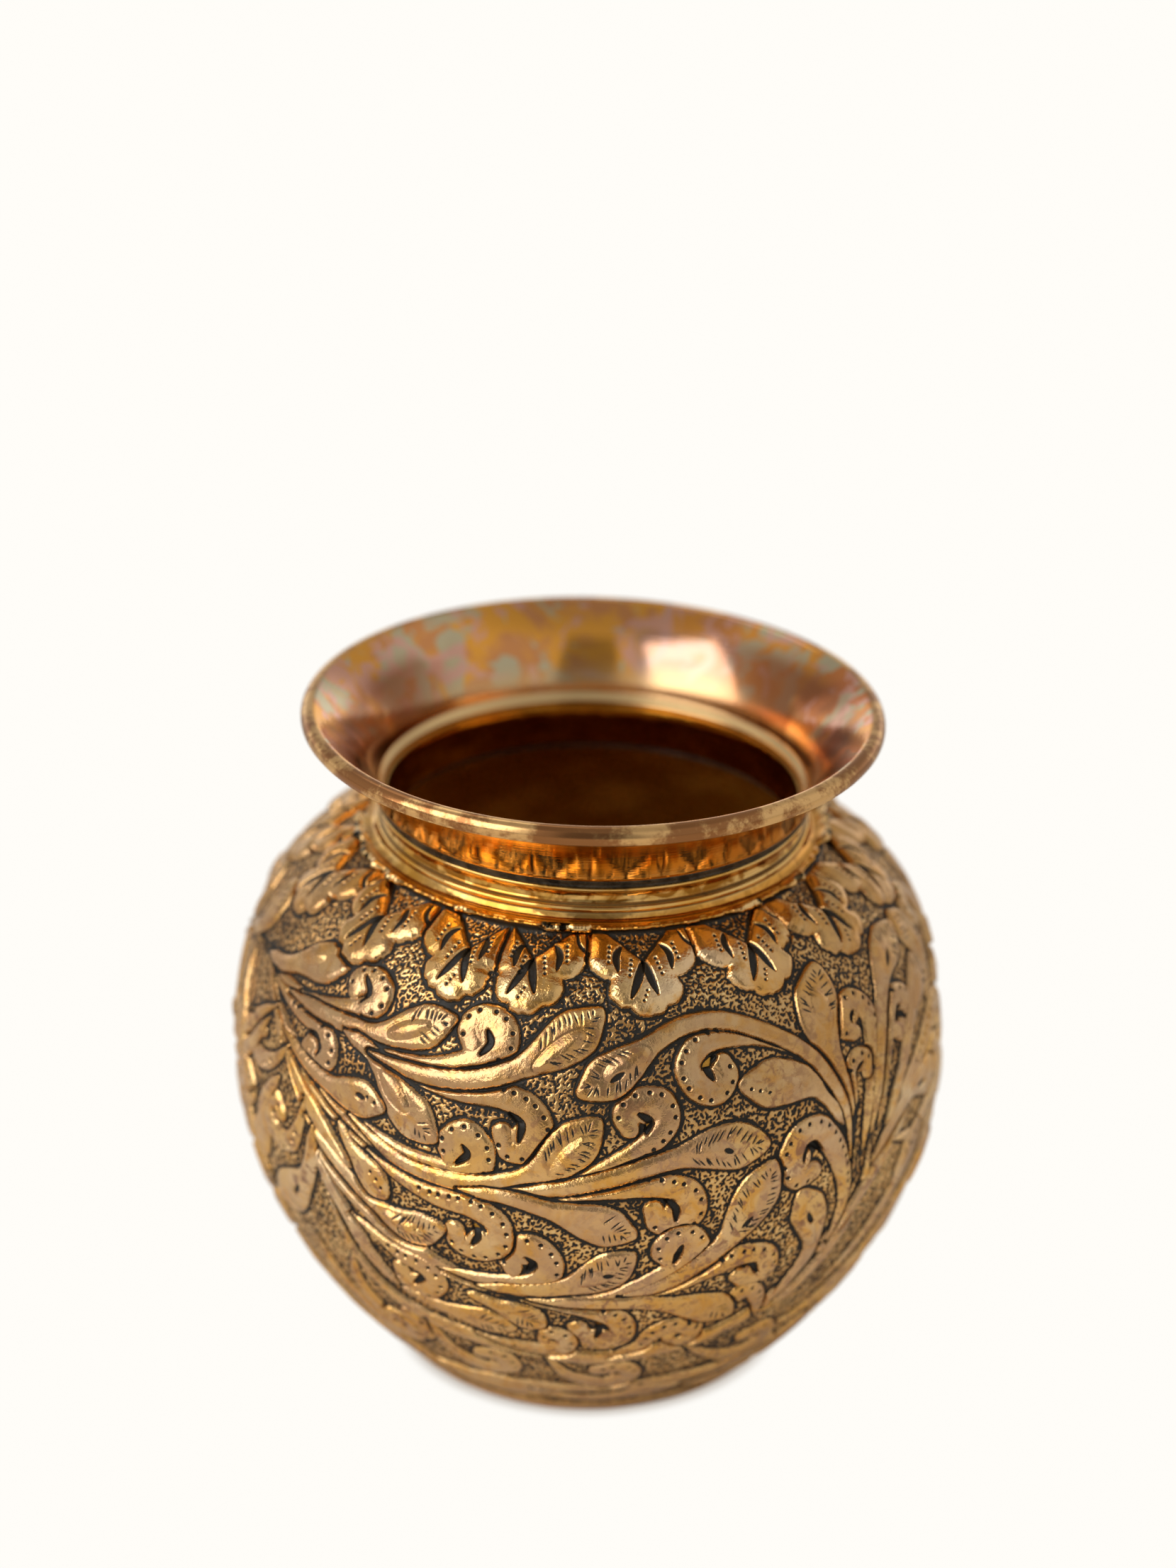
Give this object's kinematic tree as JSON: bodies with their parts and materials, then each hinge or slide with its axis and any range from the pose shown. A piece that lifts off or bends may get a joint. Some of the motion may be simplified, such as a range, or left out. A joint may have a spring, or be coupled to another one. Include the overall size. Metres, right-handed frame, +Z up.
{
  "type": "brass kalash pot",
  "caption": "Small round-bellied brass water pot with a ringed collar and flared mouth, its body chased all over with scrolling leaves under a band of petals.",
  "frame": {"origin": "middle of the flat underside, on the pot's upright axis", "axes": "+Z up the pot's axis to the mouth, +X to the right and -Y to the front of the chased pattern"},
  "size_m": [0.11, 0.11, 0.1064],
  "materials": {
    "chased_brass": "raised ornament rubbed bright over a blackened, punched ground",
    "polished_brass": "turned and polished, with orange and grey heat tarnish",
    "base_brass": "dull, worn and brown in the scratches",
    "blackened_solder": "blackened solder, slightly glossy",
    "seam_braze": "rough braze run, oxidised brown",
    "lip_wire_steel": "plain drawn iron wire, hidden in the rolled edge"
  },
  "bodies": {
    "root": {"base_disc": "base_brass", "base_solder_ring": "blackened_solder", "bowl_shell": "chased_brass", "girth_seam_ring": "seam_braze", "shoulder_shell": "chased_brass", "collar_solder_ring": "blackened_solder", "neck_collar": "polished_brass", "neck_solder_ring": "blackened_solder", "mouth_funnel": "polished_brass", "lip_wire": "lip_wire_steel"}
  },
  "joints": []
}
